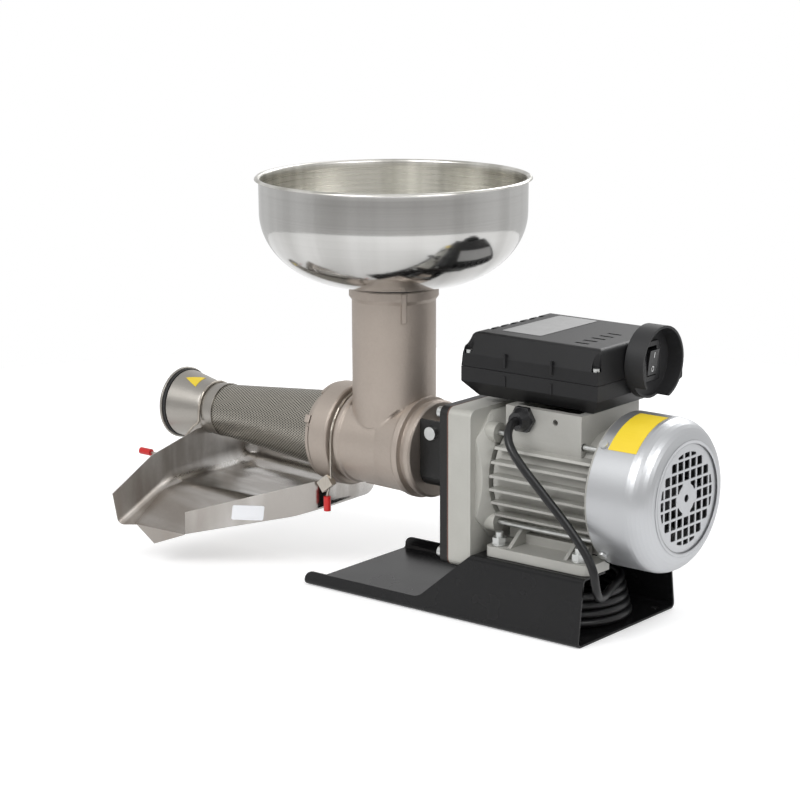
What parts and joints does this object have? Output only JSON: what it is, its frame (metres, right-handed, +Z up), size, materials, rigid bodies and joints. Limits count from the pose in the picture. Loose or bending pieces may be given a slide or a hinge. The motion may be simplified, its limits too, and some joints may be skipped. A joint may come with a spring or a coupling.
{
  "type": "electric tomato strainer",
  "caption": "Electric tomato strainer with a geared motor on a folded steel tray, a hopper bowl over a cast throat, a perforated cone, a waste cup, a drip tray and a coiled cord.",
  "frame": {"origin": "underside of the base tray's floor, straight below the hopper's axis", "axes": "+X along the motor shaft towards the fan, +Y away from the side with the cable gland, +Z up"},
  "size_m": [0.65, 0.2751, 0.4024],
  "materials": {
    "black_steel": "gloss powder coat",
    "cover_black": "satin",
    "gasket_red": "matt fibre sheet",
    "cast_silver": "silver paint over cast aluminium",
    "fastener": "zinc plated",
    "gear_steel": "oiled",
    "shaft_steel": "ground",
    "laminations": "dull",
    "bearing_steel": "ground",
    "seal_black": "matt",
    "motor_silver": "silver paint over cast aluminium",
    "winding": "varnished copper wire",
    "fan_black": "moulded",
    "cowl_silver": "silver satin paint",
    "tinned_iron": "tin plated, satin",
    "seal_red": "matt",
    "auger_white": "moulded food grade plastic",
    "bowl_steel": "fine brushed",
    "filter_steel": "perforated sheet",
    "flange_steel": "satin",
    "cup_steel": "polished",
    "tray_steel": "bright",
    "wire_steel": "drawn wire",
    "cap_red": "dipped",
    "box_black": "fine grain",
    "capacitor_white": "smooth",
    "terminal_ivory": "smooth",
    "switch_black": "smooth",
    "cord_black": "satin sheath",
    "pin_brass": "plated"
  },
  "bodies": {
    "machine": {"base_tray": "black_steel", "gear_cover": "cover_black", "cover_gasket": "gasket_red", "gear_housing": "cast_silver", "gearbox_bolts": "fastener", "cradle": "cover_black", "cradle_bolt": "fastener", "motor_bearings": "bearing_steel", "layshaft_bearings": "bearing_steel", "output_bearings": "bearing_steel", "shaft_seal": "seal_black", "stator_frame": "motor_silver", "stator_core": "laminations", "stator_winding": "winding", "motor_feet": "motor_silver", "foot_bolts": "fastener", "rear_shield": "motor_silver", "tie_rods": "fastener", "fan_cover": "cowl_silver", "fan_grille": "cowl_silver", "fan_cover_screws": "fastener", "strainer_body": "tinned_iron", "strainer_throat": "tinned_iron", "body_seal": "seal_red", "hopper_gasket": "seal_black", "filter_cone": "filter_steel", "filter_flange": "flange_steel", "waste_cup": "cup_steel", "cup_ring": "seal_black", "drip_tray": "tray_steel", "front_clip": "wire_steel", "end_clip": "wire_steel", "clip_caps": "cap_red", "switch_box_base": "box_black", "switch_box_lid": "box_black", "box_screws": "fastener", "run_capacitor": "capacitor_white", "terminal_block": "terminal_ivory", "switch_hood": "box_black", "switch_frame": "switch_black", "cable_gland": "switch_black", "gland_nut": "switch_black", "cord_lead": "cord_black", "cord_coil": "cord_black", "cord_tail": "cord_black", "mains_plug": "cord_black", "plug_pins": "pin_brass"},
    "rotor": {"rotor_shaft": "shaft_steel", "rotor_core": "laminations", "motor_pinion": "gear_steel", "cooling_fan": "fan_black"},
    "countershaft": {"layshaft": "shaft_steel", "fast_wheel": "gear_steel", "slow_pinion": "gear_steel"},
    "screw": {"output_shaft": "shaft_steel", "output_wheel": "gear_steel", "auger": "auger_white"},
    "bowl": {"hopper_bowl": "bowl_steel"},
    "switch": {"rocker": "switch_black"}
  },
  "joints": [
    {"name": "rotor_spin", "type": "hinge", "parent": "machine", "child": "rotor", "pos_m": [0.2, 0, 0.135], "axis": [1, 0, 0], "continuous": true},
    {"name": "countershaft_spin", "type": "hinge", "parent": "machine", "child": "countershaft", "pos_m": [0.135, 0, 0.09], "axis": [1, 0, 0], "continuous": true},
    {"name": "screw_spin", "type": "hinge", "parent": "machine", "child": "screw", "pos_m": [0.11, 0, 0.138], "axis": [1, 0, 0], "continuous": true},
    {"name": "bowl_lift", "type": "slide", "parent": "machine", "child": "bowl", "axis": [0, 0, 1], "range_m": [0, 0.06]},
    {"name": "rocker_tilt", "type": "hinge", "parent": "machine", "child": "switch", "pos_m": [0.2727, 0.035, 0.248], "axis": [0, 1, 0], "range_deg": [-16, 0]}
  ],
  "couplings": [
    {"joint": "countershaft_spin", "follows": "rotor_spin", "ratio": -0.30435},
    {"joint": "screw_spin", "follows": "rotor_spin", "ratio": 0.11304}
  ]
}
